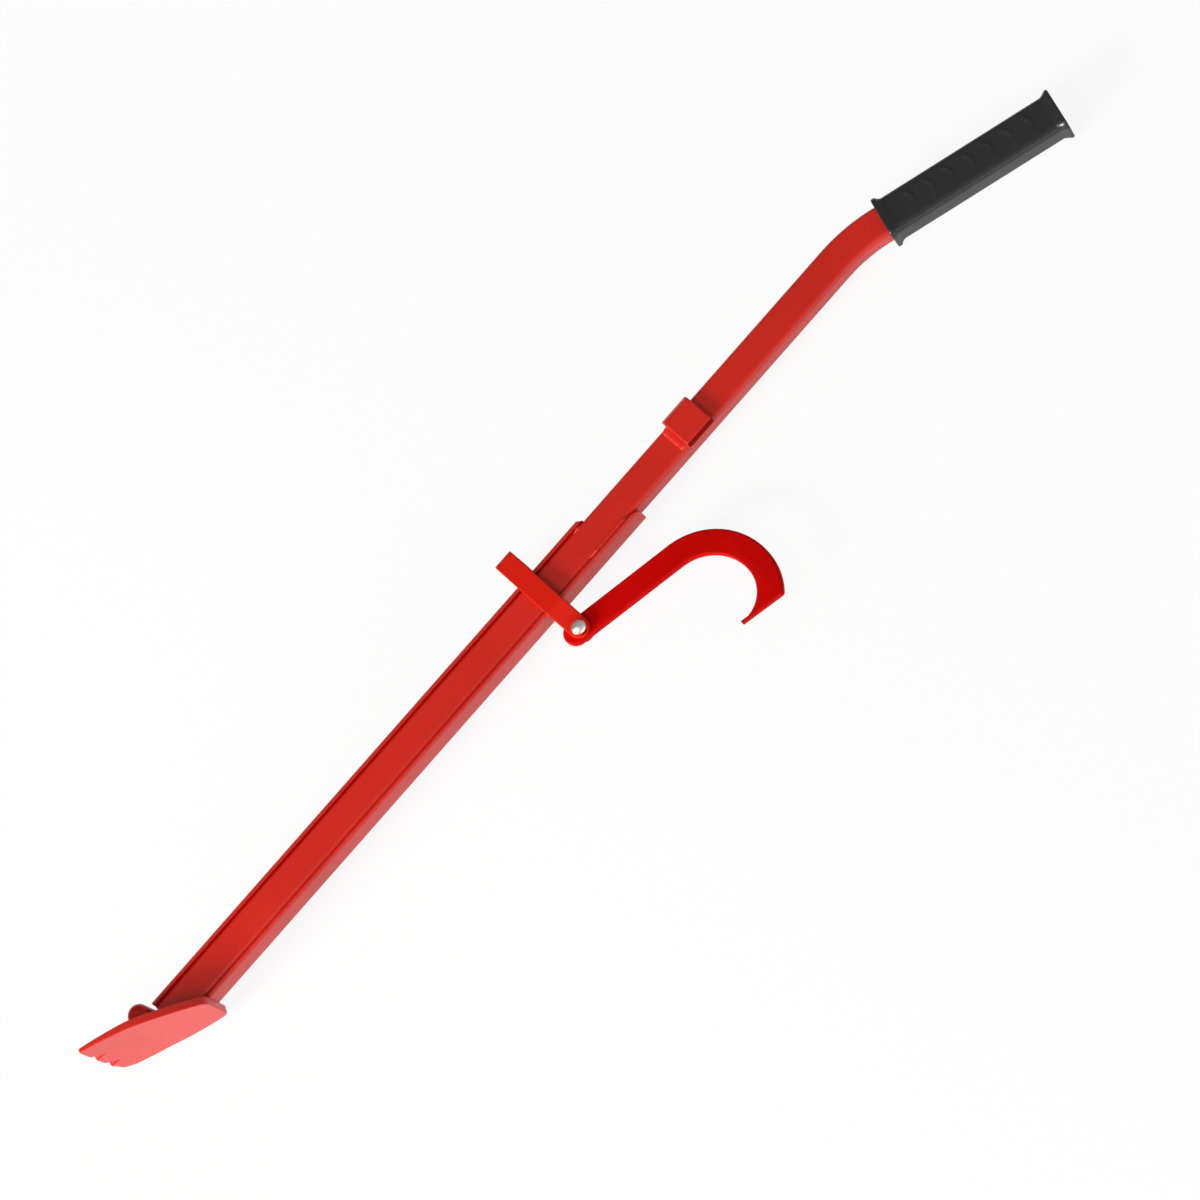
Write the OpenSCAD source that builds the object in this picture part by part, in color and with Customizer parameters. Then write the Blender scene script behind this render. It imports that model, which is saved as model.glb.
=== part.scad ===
// Cant hook: a short felling lever with a toothed foot, a sliding collar and a turning hook.
// Millimetres. X runs along the lever to the grip, the hook hangs on the -Y side, +Z is the open front.
// The origin is the centre of the foot's sole, where the lever's centre line meets it.

/* [Handle tube] */
// Width of the tube in the lever's plane
tube_w = 21; // [19:0.5:24]
// Depth of the tube
tube_d = 13; // [12:0.5:15]
// Wall of the tube
tube_wall = 2; // [1.5:0.25:2.5]
// Outer corner radius of the tube
tube_r = 3; // [2.75:0.25:4]
// Distance from the sole's centre to the start of the bend
straight_len = 605; // [580:5:680]
// Centre-line radius of the bend below the grip
bend_r = 105; // [80:5:150]
// Angle of the bend, towards the hook side
bend_angle = 18.5; // [12:0.5:24]

/* [Outer channel] */
// Sheet thickness of the channel
channel_t = 3; // [2:0.25:4]
// Height of the channel's lips above the tube's front face
lip_proud = 1; // [0.5:0.25:1.5]
// Outer radius of the channel's two folds
channel_r = 4; // [3.5:0.25:5]
// Distance from the sole's centre to the middle of the channel's upper end
channel_end = 404.5; // [395:0.5:415]
// Angle of the upper end, which runs further on the hook side
channel_mitre = 47.5; // [40:0.5:50]
// Length of the weld at the upper end of the hook-side lip
channel_weld_long = 36; // [20:1:45]
// Length of the weld at the upper end of the other lip
channel_weld_short = 9; // [6:0.5:14]

/* [Foot] */
// Angle between the sole and the lever
sole_angle = 27; // [22:0.5:30]
// Length of the sole from heel to toe
foot_len = 80; // [74:1:86]
// Width of the toe
toe_w = 58; // [54:1:64]
// Width of the foot half way along
foot_mid_w = 57; // [54:1:62]
// Width of the heel
heel_w = 32; // [28:1:34]
// Thickness of the plate under the lever
foot_t = 5; // [4:0.5:6]
// Thickness of the plate at the toe
toe_t = 2.8; // [1.6:0.2:3.4]
// Length of the thinned part behind the toe
toe_taper = 34; // [26:1:36]
// Angle by which the thinned part is bent down from the sole
toe_bend = 3.5; // [0:0.5:6]
// Depth of the two notches between the toe's teeth
notch_depth = 8; // [4:0.5:10]
// Width of the two notches at the toe
notch_w = 9; // [6:0.5:11]
// Distance from the sole's centre to the square-cut end of the lever
lever_start = 11; // [10:0.5:14]
// Radius of the stop bar across the foot
stop_bar_r = 7; // [5.5:0.25:7.5]
// Length of the stop bar
stop_bar_len = 36; // [30:1:50]
// Leg of the welds at the foot
weld_leg = 4; // [3:0.5:4.5]

/* [Slide stop] */
// Distance from the sole's centre to the slide stop
slide_stop_x = 467; // [440:1:500]
// Length of the slide stop along the lever
slide_stop_len = 21; // [15:1:26]
// Thickness of the slide stop's strip
slide_stop_t = 4; // [3:0.25:5]

/* [Collar] */
// Place of the collar along the lever
collar_x = 344.5; // [320:0.5:360]
// Width of the collar's strap
strap_w = 13.2; // [10:0.2:15]
// Thickness of the collar's strap
strap_t = 3; // [2.5:0.25:4]
// Play between the collar's legs and the channel, each side
collar_play = 0.8; // [0.5:0.1:1.2]
// Play between the collar's closed end and the channel
collar_slack = 16; // [8:0.5:18]

/* [Hook] */
// Distance from the lever's centre line to the hook's pivot
pivot_drop = 32.5; // [31:0.5:36]
// Thickness of the hook
hook_t = 5; // [4:0.5:6]
// Width of the hook's shank and bow
hook_w = 15.6; // [14:0.2:17]
// Slope of the shank to the lever at rest
hook_slope = 12; // [8:0.5:15]
// Length of the shank from the pivot to the start of the bow
hook_run = 70; // [60:1:80]
// Centre-line radius of the bow
bow_r = 38; // [36:0.5:42]
// Radius of the inside of the nose, where the bow tightens
nose_r = 22; // [20:0.5:25]
// Distance from the pivot to the nose's tip, along the shank
tip_run = 79; // [78:0.5:86]
// Outer radius of the nose, where the bow tightens
nose_out_r = 41.5; // [40:0.5:43]
// Length of the rounded tail behind the pivot
hook_tail = 11.4; // [10:0.2:13]

/* [Pivot] */
// Diameter of the pivot rivet
rivet_d = 6; // [5:0.5:7]
// Diameter of the rivet's two heads
rivet_head_d = 9.6; // [9:0.2:11]
// Height of the rivet's front head
rivet_head_h = 2.6; // [2:0.2:3]
// Height of the rivet's closed tail
rivet_tail_h = 1.8; // [1.4:0.2:2.4]

/* [Grip] */
// Length of the grip
grip_len = 121; // [100:1:135]
// Thickness of the grip over the tube
grip_wall = 2.25; // [1.5:0.25:4]
// Height of the grip's end flanges over its body
flange_proud = 2; // [1:0.25:3]
// Length of the grip's end flanges
flange_len = 4; // [3:0.5:6]

/* [Hidden] */
$fn = 96;

// Clearances
channel_gap = 0.1;
turn_gap = 0.06;
hook_side_gap = 0.25;
stop_bar_gap = 2.4;
bend_gap = 3.5;
eps = 1;

// Lever: the channel's depth is centred on z = 0, and the tube lies on its back
channel_w = tube_w + 2 * (channel_gap + channel_t);
channel_d = channel_t + tube_d + lip_proud;
tube_z = channel_t + tube_d / 2 - channel_d / 2;
tube_front = tube_z + tube_d / 2;
channel_half_d = channel_d / 2;
mitre_run = tan(channel_mitre) * tube_w / 2;

// Foot: the side edges are arcs through the heel, the middle and the toe
toe_drop = toe_taper * tan(toe_bend);
foot_side_arc = arc_through([foot_len / 2, heel_w / 2], [0, foot_mid_w / 2], [-foot_len / 2, toe_w / 2]);
stop_bar_sink = 1.5;
stop_bar_y = foot_t + stop_bar_r - stop_bar_sink;
stop_bar_world_x = lever_start - stop_bar_gap - stop_bar_r;
stop_bar_x = (stop_bar_world_x - stop_bar_y * sin(sole_angle)) / cos(sole_angle);
lever_foot_x = (lever_start - foot_t * sin(sole_angle)) / cos(sole_angle);

// Slide stop
slide_stop_inset = 1.5;
slide_stop_wrap = 5;
slide_weld_run = 5;
slide_weld_rise = 3;

// Collar: the legs run beside the channel, then pinch to the hook
window_half = channel_half_d + collar_play;
leg_out = window_half + strap_t;
collar_in_y = channel_w / 2 + collar_slack;
collar_out_y = collar_in_y + strap_t;
cheek_in = hook_t / 2 + hook_side_gap;
cheek_out = cheek_in + strap_t;
pinch_start = -channel_w / 2 - collar_play;
pinch_end = pinch_start - 8.5;
pinch_angle = atan((window_half - cheek_in) / (pinch_start - pinch_end));
pinch_shift = strap_t * tan(pinch_angle / 2);
collar_corner = 5;

// Hook, in its own frame: the pivot is the origin and the shank runs along +X
bow_out = bow_r + hook_w / 2;
bow_in = bow_r - hook_w / 2;
nose_x = hook_run + bow_in - nose_r;
tip_blunt = 0.6;
tip_y = -bow_r - sqrt(nose_r * nose_r - (tip_run - nose_x) * (tip_run - nose_x)) - tip_blunt;
heel_drop = 1;

// Grip
grip_w = tube_w + 2 * grip_wall;
grip_d = tube_d + 2 * grip_wall;
grip_r = tube_r + grip_wall;
grip_cap = 4;

// Centre and radius of the circle through three points, as [x, y, r]
function arc_through(a, b, c) =
    let (d = 2 * (a[0] * (b[1] - c[1]) + b[0] * (c[1] - a[1]) + c[0] * (a[1] - b[1])),
         sa = a * a,
         sb = b * b,
         sc = c * c,
         x = (sa * (b[1] - c[1]) + sb * (c[1] - a[1]) + sc * (a[1] - b[1])) / d,
         y = (sa * (c[0] - b[0]) + sb * (a[0] - c[0]) + sc * (b[0] - a[0])) / d)
    [x, y, norm([x - a[0], y - a[1]])];

// Rectangle with rounded corners, centred
module rounded_rect(w, d, r) {
    square([w - 2 * r, d], center = true);
    square([w, d - 2 * r], center = true);
    for (sx = [-1, 1], sy = [-1, 1])
        translate([sx * (w / 2 - r), sy * (d / 2 - r)])
            circle(r = r);
}

// Runs a section along the lever: its x becomes Y and its y becomes Z
module along_x(x, len) {
    translate([x, 0, 0])
        rotate([90, 0, 90])
            linear_extrude(len)
                children();
}

// The straight handle above the bend, with X along it
module at_handle() {
    translate([straight_len, -bend_r, 0])
        rotate([0, 0, -bend_angle])
            translate([0, bend_r, 0])
                children();
}

// The foot's own frame: the sole is y = 0, the heel is at +X and the toe at -X
module on_sole() {
    rotate([0, 0, -sole_angle])
        children();
}

// Everything below the top of the foot plate, which the lever's end is cut to
module below_foot_top() {
    on_sole()
        translate([-foot_len, foot_t - foot_len, -foot_len])
            cube([2 * foot_len, foot_len, 2 * foot_len]);
}

// The bend, turned a little too far and then cut square where the handle starts
module bend_sweep() {
    overrun = 10;
    difference() {
        translate([straight_len, -bend_r, 0])
            mirror([1, 0, 0])
                rotate([0, 0, 90])
                    rotate_extrude(angle = bend_angle + overrun)
                        translate([bend_r, 0])
                            children();
        at_handle()
            translate([0, -bend_r, -bend_r])
                cube(2 * bend_r);
    }
}

// One section swept along the straight lever, the bend and the handle
module lever_sweep(w, d, r, extra) {
    along_x(lever_start - extra, straight_len - lever_start + extra)
        translate([0, tube_z])
            rounded_rect(w, d, r);
    bend_sweep()
        translate([0, tube_z])
            rounded_rect(w, d, r);
    at_handle()
        along_x(0, bend_gap + grip_len - grip_cap + extra)
            translate([0, tube_z])
                rounded_rect(w, d, r);
}

module handle_tube() {
    color("firebrick")
        difference() {
            lever_sweep(tube_w, tube_d, tube_r, 0);
            lever_sweep(tube_w - 2 * tube_wall, tube_d - 2 * tube_wall, tube_r - tube_wall, eps);
            below_foot_top();
        }
}

module channel_section() {
    difference() {
        union() {
            translate([-channel_w / 2, channel_r - channel_half_d])
                square([channel_w, channel_d - channel_r]);
            translate([-channel_w / 2 + channel_r, -channel_half_d])
                square([channel_w - 2 * channel_r, channel_r]);
            for (side = [-1, 1])
                translate([side * (channel_w / 2 - channel_r), channel_r - channel_half_d])
                    circle(r = channel_r);
        }
        translate([-tube_w / 2 - channel_gap, channel_t - channel_half_d])
            square([tube_w + 2 * channel_gap, channel_d]);
    }
}

// The channel, its upper end cut off at the mitre
module channel_solid() {
    difference() {
        along_x(lever_start, channel_end + channel_w - lever_start)
            channel_section();
        translate([channel_end, 0, 0])
            rotate([0, 0, channel_mitre])
                translate([0, -2 * channel_w, -channel_d])
                    cube([2 * channel_w, 4 * channel_w, 2 * channel_d]);
        below_foot_top();
    }
}

module outer_channel() {
    color("red")
        channel_solid();
}

// Bead in the groove between the +Y lip and the tube's rounded front corner
module channel_bead(end, len) {
    lip_in = tube_w / 2 + channel_gap;
    root = tube_w / 2 - tube_r;
    along_x(end - len, len)
        difference() {
            polygon([[root, tube_z], [lip_in, tube_front - tube_r / 2], [lip_in, channel_half_d],
                     [root, tube_front + lip_proud / 4]]);
            translate([0, tube_z])
                rounded_rect(tube_w, tube_d, tube_r);
        }
}

module channel_weld_left() {
    color("lightcoral")
        channel_bead(channel_end - mitre_run - eps, channel_weld_short);
}

module channel_weld_right() {
    color("lightcoral")
        mirror([0, 1, 0])
            channel_bead(channel_end + mitre_run - eps, channel_weld_long);
}

module foot_plan() {
    difference() {
        intersection() {
            square([foot_len, 2 * toe_w], center = true);
            translate([foot_side_arc[0], foot_side_arc[1]])
                circle(r = foot_side_arc[2], $fn = 360);
            translate([foot_side_arc[0], -foot_side_arc[1]])
                circle(r = foot_side_arc[2], $fn = 360);
        }
        for (side = [-1, 1])
            translate([-foot_len / 2, side * toe_w / 6])
                polygon([[-eps, notch_w / 2], [0, notch_w / 2], [notch_depth, 0], [0, -notch_w / 2],
                         [-eps, -notch_w / 2]]);
    }
}

module foot_plate() {
    color("indianred")
        on_sole()
            intersection() {
                linear_extrude(2 * toe_w, center = true)
                    polygon([[foot_len / 2, 0], [foot_len / 2, foot_t], [toe_taper - foot_len / 2, foot_t],
                             [-foot_len / 2, toe_t - toe_drop], [-foot_len / 2, -toe_drop],
                             [toe_taper - foot_len / 2, 0]]);
                translate([0, foot_t + eps, 0])
                    rotate([90, 0, 0])
                        linear_extrude(foot_t + toe_taper)
                            foot_plan();
            }
}

module stop_bar_round(len) {
    translate([stop_bar_x, stop_bar_y, 0])
        cylinder(r = stop_bar_r, h = len, center = true);
}

module foot_stop_bar() {
    color("brown")
        difference() {
            on_sole()
                stop_bar_round(stop_bar_len);
            below_foot_top();
        }
}

// Three-cornered bead along the foot's frame, from its root at the plate's top
module foot_bead(side) {
    root = side > 0 ? tube_front : channel_half_d;
    on_sole()
        translate([lever_foot_x + eps, foot_t, side * root])
            rotate([90, 0, 90])
                linear_extrude(foot_len / 2 - lever_foot_x - 2 * eps)
                    polygon([[0, 0], [weld_leg, 0], [0, side * weld_leg]]);
}

module foot_weld_front() {
    color("lightcoral")
        difference() {
            foot_bead(1);
            channel_solid();
        }
}

module foot_weld_back() {
    color("lightcoral")
        foot_bead(-1);
}

module stop_bar_weld() {
    chord = sqrt(stop_bar_r * stop_bar_r - (stop_bar_y - foot_t) * (stop_bar_y - foot_t));
    color("lightcoral")
        on_sole()
            difference() {
                translate([stop_bar_x - chord, foot_t, 0])
                    linear_extrude(stop_bar_len - 2 * weld_leg, center = true)
                        polygon([[-weld_leg - 1, 0], [chord, 0], [chord, weld_leg], [-2, weld_leg]]);
                stop_bar_round(stop_bar_len);
                translate([stop_bar_x, 0, -foot_len])
                    cube([foot_len, foot_len, 2 * foot_len]);
            }
}

module slide_stop() {
    color("crimson")
        along_x(slide_stop_x, slide_stop_len)
            difference() {
                intersection() {
                    translate([0, tube_z])
                        rounded_rect(tube_w + 2 * slide_stop_t, tube_d + 2 * slide_stop_t,
                                     tube_r + slide_stop_t);
                    union() {
                        translate([slide_stop_inset - tube_w / 2, tube_z])
                            square(tube_w + slide_stop_t);
                        translate([0, tube_z - slide_stop_wrap])
                            square(tube_w + slide_stop_t);
                    }
                }
                translate([0, tube_z])
                    rounded_rect(tube_w, tube_d, tube_r);
            }
}

module slide_stop_weld() {
    color("lightcoral")
        translate([slide_stop_x, 0, tube_front])
            rotate([90, 0, 0])
                linear_extrude(tube_w - 2 * tube_r, center = true)
                    polygon([[-slide_weld_run, 0], [0, 0], [0, slide_weld_rise]]);
}

module grip() {
    color("dimgray")
        at_handle()
            difference() {
                union() {
                    along_x(bend_gap, grip_len)
                        translate([0, tube_z])
                            rounded_rect(grip_w, grip_d, grip_r);
                    for (x = [bend_gap, bend_gap + grip_len - flange_len])
                        along_x(x, flange_len)
                            translate([0, tube_z])
                                rounded_rect(grip_w + 2 * flange_proud, grip_d + 2 * flange_proud,
                                             grip_r + flange_proud);
                }
                along_x(bend_gap - eps, grip_len - grip_cap + eps)
                    translate([0, tube_z])
                        rounded_rect(tube_w, tube_d, tube_r);
            }
}

// Side view of the collar: x is Y and y is Z
module collar_side() {
    lug_end = -pivot_drop - strap_w / 2;
    difference() {
        union() {
            translate([pinch_start, -leg_out])
                square([collar_out_y - collar_corner - pinch_start, 2 * leg_out]);
            translate([0, collar_corner - leg_out])
                square([collar_out_y, 2 * (leg_out - collar_corner)]);
            for (side = [-1, 1])
                translate([collar_out_y - collar_corner, side * (leg_out - collar_corner)])
                    circle(r = collar_corner);
            polygon([[pinch_start, leg_out], [pinch_start - pinch_shift, leg_out],
                     [pinch_end - pinch_shift, cheek_out], [lug_end, cheek_out],
                     [lug_end, -cheek_out], [pinch_end - pinch_shift, -cheek_out],
                     [pinch_start - pinch_shift, -leg_out], [pinch_start, -leg_out]]);
        }
        polygon([[collar_in_y, window_half], [pinch_start, window_half], [pinch_end, cheek_in],
                 [lug_end - eps, cheek_in], [lug_end - eps, -cheek_in], [pinch_end, -cheek_in],
                 [pinch_start, -window_half], [collar_in_y, -window_half]]);
    }
}

// Front view of the collar, with the pivot at [0, -pivot_drop]
module collar_front() {
    translate([-strap_w / 2, -pivot_drop])
        square([strap_w, pivot_drop + collar_out_y + eps]);
    translate([0, -pivot_drop])
        circle(d = strap_w);
}

module at_pivot() {
    translate([collar_x, -pivot_drop, 0])
        children();
}

module collar_strap() {
    color("red")
        difference() {
            intersection() {
                along_x(collar_x - strap_w, 2 * strap_w)
                    collar_side();
                translate([collar_x, 0, -2 * leg_out])
                    linear_extrude(4 * leg_out)
                        collar_front();
            }
            at_pivot()
                cylinder(d = rivet_d, h = 4 * leg_out, center = true);
        }
}

module hook_outline() {
    difference() {
        union() {
            translate([hook_w / 2 - hook_tail, -hook_w / 2])
                square([hook_run + hook_tail - hook_w / 2, hook_w]);
            translate([hook_w / 2 - hook_tail, 0])
                circle(d = hook_w);
            intersection() {
                translate([hook_run, -bow_r])
                    circle(r = bow_out);
                translate([hook_run, -bow_r - bow_out])
                    square([bow_out, 2 * bow_out]);
                union() {
                    translate([hook_run, -bow_r])
                        square(bow_out);
                    translate([hook_run + bow_out - nose_out_r, -bow_r])
                        circle(r = nose_out_r);
                }
            }
        }
        intersection() {
            translate([hook_run, -bow_r])
                circle(r = bow_in);
            translate([hook_run - bow_in, -bow_r])
                square(2 * bow_in);
        }
        translate([nose_x, -bow_r])
            circle(r = nose_r);
        polygon([[hook_run - eps, -bow_r], [tip_run, -bow_r], [tip_run, tip_y],
                 [hook_run + bow_out, tip_y - heel_drop], [hook_run + bow_out, -bow_r - bow_out - eps],
                 [hook_run - eps, -bow_r - bow_out - eps]]);
    }
}

module hook() {
    color("darkred")
        at_pivot()
            difference() {
                rotate([0, 0, -hook_slope])
                    linear_extrude(hook_t, center = true)
                        hook_outline();
                cylinder(d = rivet_d + 2 * turn_gap, h = 2 * hook_t, center = true);
            }
}

// Domed rivet head standing on z = 0
module rivet_head(h) {
    dome_r = (rivet_head_d * rivet_head_d / 4 + h * h) / (2 * h);
    intersection() {
        translate([0, 0, h - dome_r])
            sphere(r = dome_r);
        cylinder(d = 2 * rivet_head_d, h = 2 * h);
    }
}

module pivot_rivet() {
    color("silver")
        at_pivot() {
            translate([0, 0, cheek_out])
                rivet_head(rivet_head_h);
            translate([0, 0, -cheek_out])
                mirror([0, 0, 1])
                    rivet_head(rivet_tail_h);
            cylinder(d = rivet_d, h = 2 * cheek_out, center = true);
        }
}

handle_tube();
outer_channel();
foot_plate();
foot_stop_bar();
slide_stop();
grip();
foot_weld_front();
foot_weld_back();
stop_bar_weld();
slide_stop_weld();
channel_weld_left();
channel_weld_right();
collar_strap();
hook();
pivot_rivet();
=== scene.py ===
"""Cant hook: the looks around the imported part. Metres, in the part's own frame: X runs along the lever to
the grip, the hook hangs on the -Y side, and the channel's open front faces +Z."""
import math

import bmesh
import bpy
from mathutils import Matrix, Vector


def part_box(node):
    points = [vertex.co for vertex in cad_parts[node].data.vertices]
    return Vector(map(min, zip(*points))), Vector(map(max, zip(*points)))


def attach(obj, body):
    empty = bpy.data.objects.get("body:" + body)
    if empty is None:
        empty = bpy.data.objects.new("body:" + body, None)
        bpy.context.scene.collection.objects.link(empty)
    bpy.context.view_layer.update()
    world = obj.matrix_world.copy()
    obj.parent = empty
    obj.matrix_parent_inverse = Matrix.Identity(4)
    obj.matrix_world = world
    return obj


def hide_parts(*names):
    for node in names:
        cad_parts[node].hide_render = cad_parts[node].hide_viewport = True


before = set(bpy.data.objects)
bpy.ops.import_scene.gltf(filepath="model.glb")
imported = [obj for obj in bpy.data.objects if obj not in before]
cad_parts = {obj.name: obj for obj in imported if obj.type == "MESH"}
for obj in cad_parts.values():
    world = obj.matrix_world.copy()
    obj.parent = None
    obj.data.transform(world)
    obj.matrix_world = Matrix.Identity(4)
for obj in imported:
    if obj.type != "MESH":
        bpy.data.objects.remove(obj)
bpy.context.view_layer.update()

# Sizes of the part, in millimetres and radians
MM = 0.001
TUBE_W, TUBE_D, TUBE_WALL, TUBE_R, TUBE_Z = 21, 13, 2, 3, 1
TUBE_FRONT = TUBE_Z + TUBE_D / 2
STRAIGHT, BEND_R, BEND = 605, 105, math.radians(18.5)
CHANNEL_W, CHANNEL_D, CHANNEL_T, CHANNEL_R = 27.2, 17, 3, 4
CHANNEL_END, CHANNEL_MITRE, LIP_ROUND = 404.5, math.radians(47.5), 2
SOLE = math.radians(27)
FOOT_LEN, TOE_W, MID_W, HEEL_W, FOOT_T, TOE_T, TOE_TAPER = 80, 58, 57, 32, 5, 2.8, 34
TOE_BEND, NOTCH_DEPTH, NOTCH_W = math.radians(3.5), 8, 9
LEVER_START = 11
BAR_R, BAR_LEN, BAR_DOME = 7, 36, 5
SLIDE_X, SLIDE_LEN, SLIDE_T, SLIDE_INSET, SLIDE_WRAP, SLIDE_REACH = 467, 21, 4, 0.3, 5, 1.6
COLLAR_X, STRAP_W, STRAP_T, COLLAR_PLAY, COLLAR_SLACK = 344.5, 13.2, 3, 0.8, 16
PINCH_OFF, PINCH_RUN, PINCH_R, LOOP_R = 0.5, 8.5, 2.5, 3.5
PIVOT_DROP, HOOK_T, HOOK_W, HOOK_SLOPE = 32.5, 5, 15.6, math.radians(12)
HOOK_RUN, BOW_R, NOSE_R, NOSE_OUT_R, HOOK_TAIL = 70, 38, 22, 41.5, 11.4
TIP_RUN, TIP_BLUNT, NOSE_DROP, NOSE_ROUND = 79, 0.6, 1, 2.6
CHEEK_PLAY, EYE_PLAY, DRILL_LEN = 0.25, 0.12, 40
CHEEK_IN = HOOK_T / 2 + CHEEK_PLAY
CHEEK_OUT = CHEEK_IN + STRAP_T
RIVET_D, RIVET_HEAD_D, RIVET_HEAD_H, RIVET_TAIL_H = 6, 9.6, 2.6, 1.8
GRIP_START, GRIP_LEN, GRIP_WALL, GRIP_CAP, FLANGE = 3.5, 121, 2.25, 4, 2
GRIP_W, GRIP_D, GRIP_R = TUBE_W + 2 * GRIP_WALL, TUBE_D + 2 * GRIP_WALL, 4.2
RIB_COUNT, RIB_FIRST, RIB_STEP, RIB_BOW, RIB_CUTS = 7, 26, 13.5, 4.5, 17
RIB_HALF, RIB_WIDTH, RIB_HEIGHT, RIB_FADE = 7.4, 1.5, 0.75, 1.5
CHANNEL_WELD_LONG, CHANNEL_WELD_SHORT, WELD_LEG, WELD_SHORT = 36, 9, 4, 1.5

# Corners of the foot, as steps in from its end and from its side
HEEL_CORNER, HEEL_CORNER_LEN = ((0, 3.5), (0.4, 1.9), (1.4, 0.3)), 3
TOE_CORNER = ((0.4, 0.1), (0, 1.5))
WORN_CORNER, WORN_LEN, WORN_R = (3.0, 2.6), 8, 2.5
NOTCH_ROOT, NOTCH_TOP, NOTCH_EDGE = (0.8, 0.7), 0.05, 0.5

# The grip's flanges, as steps in from its ends and how far they stand proud of the plain sleeve
GRIP_MOUTH = ((0, 1.2), (0.2, 1.7), (0.7, FLANGE), (2.2, FLANGE), (2.9, 1.7), (3.6, 1.0), (4.6, 0.4))
GRIP_TIP = ((4.6, 0.5), (2.6, 1.5), (1.6, FLANGE), (0.6, FLANGE), (0.15, 1.7), (0, 1.2))
GRIP_PLAIN = 6

# What edges are rounded by, with the shares of a lip's outer and inner edge, and of the hook near its tip
FOOT_SOFT, BAR_SOFT, SLIDE_SOFT, STRAP_SOFT, HOOK_SOFT, LIP_SOFT = 0.6, 0.4, 0.8, 0.6, 1.5, 2.6
FAR_LIP, HOOK_SIDE_LIP = (1.0, 0.15), (0.55, 0.45)
TIP_CRISP, TIP_FADE = 0.12, 16

# How much painted shade some faces get, how far a face's normal points one way, and what counts as the same
# place
NOTCH_SHADE, SOLE_SHADE, DOME_SHADE, STOP_SHADE = 0.8, 0.09, 0.30, 1.0
SQUARE, SLANTED = 0.9, 0.6
NEAR, CLOSE = 0.1, 0.01

# The handle above the bend, with X along it, and the foot, with X to the heel and Y up from the sole
HANDLE = (Matrix.Translation((STRAIGHT * MM, -BEND_R * MM, 0)) @ Matrix.Rotation(-BEND, 4, "Z")
          @ Matrix.Translation((0, BEND_R * MM, 0)))
FOOT = Matrix.Rotation(-SOLE, 4, "Z")
FOOT_UP = FOOT @ Vector((0, 1, 0))
PIVOT = Vector((COLLAR_X, -PIVOT_DROP, 0)) * MM

# The stop bar's centre line
bar_low, bar_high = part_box("foot_stop_bar")
BAR_AT = ((bar_low.x + bar_high.x) / 2 / MM, bar_high.y / MM - BAR_R)


# Modelling by hand
def only(piece):
    """Selects one piece alone."""
    bpy.ops.object.select_all(action="DESELECT")
    piece.select_set(True)
    bpy.context.view_layer.objects.active = piece


def settle(piece, place=None):
    """Puts a piece's place into its mesh."""
    only(piece)
    if place is not None:
        piece.matrix_world = place @ piece.matrix_world
    bpy.ops.object.transform_apply(location=True, rotation=True, scale=True)


def begin(name, primitive, **sizes):
    """Adds a primitive as the start of a piece."""
    bpy.ops.object.select_all(action="DESELECT")
    primitive(**sizes)
    piece = bpy.context.active_object
    piece.name = piece.data.name = name
    settle(piece)
    return piece


class Editing:
    """Edit mode on one piece."""

    def __init__(self, piece):
        self.piece = piece

    def __enter__(self):
        only(self.piece)
        bpy.ops.object.mode_set(mode="EDIT")
        bpy.ops.mesh.select_mode(type="VERT")
        return self

    def __exit__(self, *error):
        bpy.ops.object.mode_set(mode="OBJECT")

    def pick(self, kind, test):
        """Selects the vertices, edges or faces whose middle, in millimetres, and size pass the test."""
        bpy.ops.mesh.select_mode(type=kind)
        bpy.ops.mesh.select_all(action="DESELECT")
        mesh = bmesh.from_edit_mesh(self.piece.data)
        for part in {"VERT": mesh.verts, "EDGE": mesh.edges, "FACE": mesh.faces}[kind]:
            corners = [part] if kind == "VERT" else part.verts
            middle = sum((v.co for v in corners), Vector()) / len(corners) / MM
            if test(middle, part):
                part.select_set(True)
        mesh.select_flush_mode()
        bmesh.update_edit_mesh(self.piece.data)

    def pull(self, step):
        """Extrudes what is selected along a step in millimetres."""
        bpy.ops.mesh.extrude_region_move(TRANSFORM_OT_translate={"value": Vector(step) * MM})


def modified(piece, kind, **settings):
    """Adds a modifier and applies it."""
    only(piece)
    modifier = piece.modifiers.new(kind.lower(), kind)
    for key, value in settings.items():
        setattr(modifier, key, value)
    bpy.ops.object.modifier_apply(modifier=modifier.name)


def outward(piece, merge=0.001):
    """Merges doubles, then turns all faces outwards."""
    with Editing(piece):
        bpy.ops.mesh.select_all(action="SELECT")
        bpy.ops.mesh.remove_doubles(threshold=merge * MM)
        bpy.ops.mesh.normals_make_consistent(inside=False)


def cut(piece, point, normal):
    """Cuts off what lies beyond a plane, and closes the cut."""
    with Editing(piece):
        bpy.ops.mesh.select_all(action="SELECT")
        bpy.ops.mesh.bisect(plane_co=Vector(point) * MM, plane_no=Vector(normal).normalized(), use_fill=True,
                            clear_outer=True)


def cut_to_foot(piece):
    """Cuts a piece of the lever where it stands on the foot plate."""
    cut(piece, FOOT_UP * FOOT_T, -FOOT_UP)


def arc(middle, radius, first, last, steps):
    """Points of an arc, angles in degrees."""
    turns = [math.radians(first + (last - first) * i / steps) for i in range(steps + 1)]
    return [(middle[0] + radius * math.cos(t), middle[1] + radius * math.sin(t)) for t in turns]


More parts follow.
